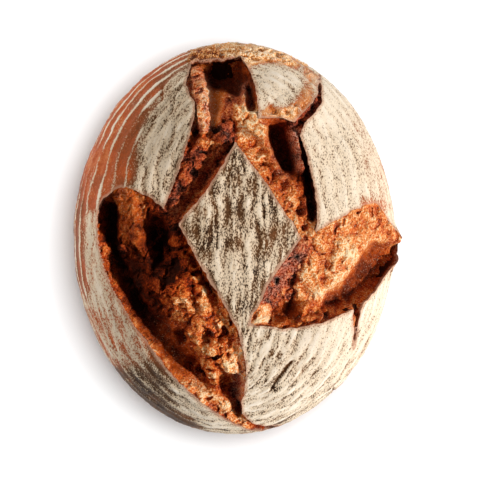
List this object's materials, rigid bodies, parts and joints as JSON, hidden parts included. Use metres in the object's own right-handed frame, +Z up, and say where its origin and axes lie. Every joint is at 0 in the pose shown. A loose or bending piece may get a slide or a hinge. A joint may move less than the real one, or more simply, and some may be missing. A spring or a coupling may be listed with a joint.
{
  "type": "sourdough loaf",
  "caption": "Rustic oval sourdough loaf, scored and burst open, with raised crust ears, torn crumb and a floured basket-marked crust.",
  "frame": {"origin": "centre of the loaf's flat base, on the surface that it rests on", "axes": "+Z up out of the base, +Y along the loaf's longer side, +X across it towards the raised ear of the lower right cut"},
  "size_m": [0.2005, 0.238, 0.1042],
  "materials": {
    "baked_crust": "matte"
  },
  "bodies": {
    "root": {"sourdough_loaf": "baked_crust"}
  },
  "joints": []
}
